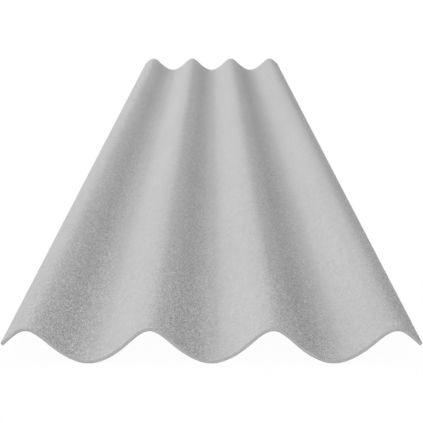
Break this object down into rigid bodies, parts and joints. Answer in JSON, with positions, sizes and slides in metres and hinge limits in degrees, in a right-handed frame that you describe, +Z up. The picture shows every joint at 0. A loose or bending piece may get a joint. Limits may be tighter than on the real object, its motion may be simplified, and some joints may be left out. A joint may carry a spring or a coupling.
{
  "type": "fiber cement roof sheet",
  "caption": "Long corrugated fiber cement roof sheet with deep parallel waves, both side edges turned down and both ends cut square, lying flat on its valleys.",
  "frame": {"origin": "middle of the sheet's footprint, on the plane that the undersides of its valleys rest on", "axes": "+X across the waves, +Y along the waves and the length of the sheet, +Z up out of the roof"},
  "size_m": [0.506, 2.44, 0.0465],
  "materials": {
    "fibre_cement": "matte"
  },
  "bodies": {
    "root": {"roof_sheet": "fibre_cement"}
  },
  "joints": []
}
